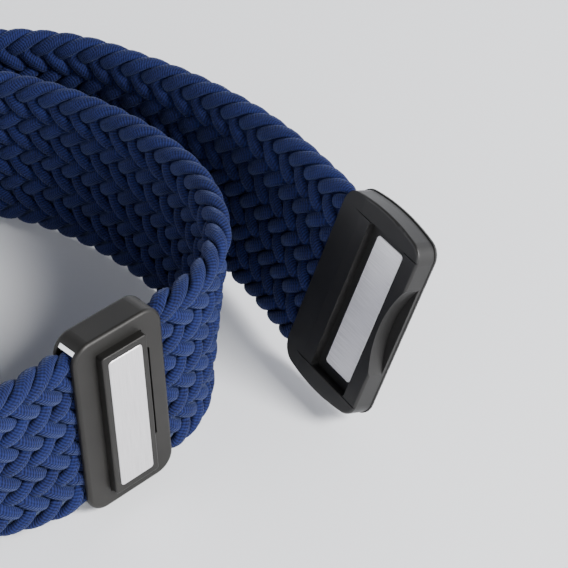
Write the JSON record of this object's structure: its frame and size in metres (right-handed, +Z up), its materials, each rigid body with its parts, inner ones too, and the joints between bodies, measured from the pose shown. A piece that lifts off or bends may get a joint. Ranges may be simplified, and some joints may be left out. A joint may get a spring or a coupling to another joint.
{
  "type": "fitness tracker band",
  "caption": "Braided elastic strap on a tracker carrier, doubled back through a loop ring and closed by a magnetic clasp that lands on a sliding keeper.",
  "frame": {"origin": "midway between the two spring bar axes, on the plane the band stands on", "axes": "+X from the tracker carrier towards the clasp, +Y towards the side of the outer strap, +Z up along the strap's width"},
  "size_m": [0.0915, 0.071, 0.0239],
  "materials": {
    "carrier_body": "smooth",
    "navy_braid": "flat braid of ribbed cords",
    "elastic": "plain",
    "dark_metal": "satin dark coating",
    "bright_liner": "plain drawn metal",
    "clasp_shell": "satin dark coating",
    "brushed_plate": "finely brushed",
    "magnet": "plated",
    "pin_steel": "polished"
  },
  "bodies": {
    "carrier": {"carrier_frame": "carrier_body", "inner_strap": "navy_braid"},
    "near_link": {"near_link_body": "dark_metal", "near_strap_end": "navy_braid", "near_crimp_pins": "pin_steel", "near_spring_bar_tube": "pin_steel", "near_spring_bar_fixed_tip": "pin_steel", "near_spring_bar_coil": "pin_steel"},
    "near_release": {"near_spring_bar_sliding_tip": "pin_steel", "near_release_knob": "pin_steel"},
    "far_link": {"loop_ring": "dark_metal", "strap_fold": "navy_braid", "far_spring_bar_tube": "pin_steel", "far_spring_bar_fixed_tip": "pin_steel", "far_spring_bar_coil": "pin_steel"},
    "far_release": {"far_spring_bar_sliding_tip": "pin_steel", "far_release_knob": "pin_steel"},
    "slider": {"slider_shell": "dark_metal", "slider_back_plate": "dark_metal", "slider_liner_rails": "bright_liner", "slider_boss": "dark_metal", "slider_magnets": "magnet", "slider_steel_plate": "brushed_plate"},
    "outer_root": {"outer_strap_root": "navy_braid"},
    "outer_middle": {"outer_strap_middle": "navy_braid", "elastic_core": "elastic"},
    "outer_end": {"outer_strap_end": "navy_braid"},
    "clasp": {"clasp_frame": "clasp_shell", "clasp_cover": "clasp_shell", "clasp_steel_plate": "brushed_plate", "clasp_magnets": "magnet", "clasp_clamp_bar": "pin_steel", "strap_end_tab": "navy_braid"}
  },
  "joints": [
    {"name": "near_link_hinge", "type": "hinge", "parent": "carrier", "child": "near_link", "pos_m": [0, -0.02115, 0.0113], "axis": [0, 0, 1], "range_deg": [-5, 5]},
    {"name": "near_release_slide", "type": "slide", "parent": "near_link", "child": "near_release", "axis": [0, 0, 1], "range_m": [-0.0011, 0], "stiffness_N_per_m": 300, "springref_m": 0.0008, "deforming": ["near_spring_bar_coil"]},
    {"name": "far_link_hinge", "type": "hinge", "parent": "carrier", "child": "far_link", "pos_m": [0, 0.02115, 0.0113], "axis": [0, 0, 1], "range_deg": [0, 4]},
    {"name": "far_release_slide", "type": "slide", "parent": "far_link", "child": "far_release", "axis": [0, 0, 1], "range_m": [-0.0011, 0], "stiffness_N_per_m": 300, "springref_m": 0.0008, "deforming": ["far_spring_bar_coil"]},
    {"name": "slider_slide", "type": "slide", "parent": "carrier", "child": "slider", "axis": [-0.7242, -0.6896, 0], "range_m": [0, 0.004]},
    {"name": "strap_swing", "type": "hinge", "parent": "far_link", "child": "outer_root", "pos_m": [0.00954, 0.02599, 0.0113], "axis": [0, 0, 1], "range_deg": [-13.49, 0]},
    {"name": "strap_stretch", "type": "slide", "parent": "outer_root", "child": "outer_middle", "axis": [0.9705, 0.241, 0], "range_m": [0, 0.0126]},
    {"name": "strap_flex", "type": "hinge", "parent": "outer_middle", "child": "outer_end", "pos_m": [0.04606, 0.02536, 0.00226], "axis": [0.0922, -0.548, 0.8314], "range_deg": [-29.06, 0]},
    {"name": "clasp_flex", "type": "hinge", "parent": "outer_end", "child": "clasp", "pos_m": [0.06571, -0.0012, 0.00372], "axis": [-0.2353, 0.6192, 0.7492], "range_deg": [-58.97, 0]}
  ],
  "couplings": [
    {"joint": "strap_stretch", "follows": "strap_swing", "m_per_rad": -0.05352},
    {"joint": "strap_flex", "follows": "strap_swing", "ratio": 2.1549},
    {"joint": "clasp_flex", "follows": "strap_swing", "ratio": 4.3728}
  ]
}
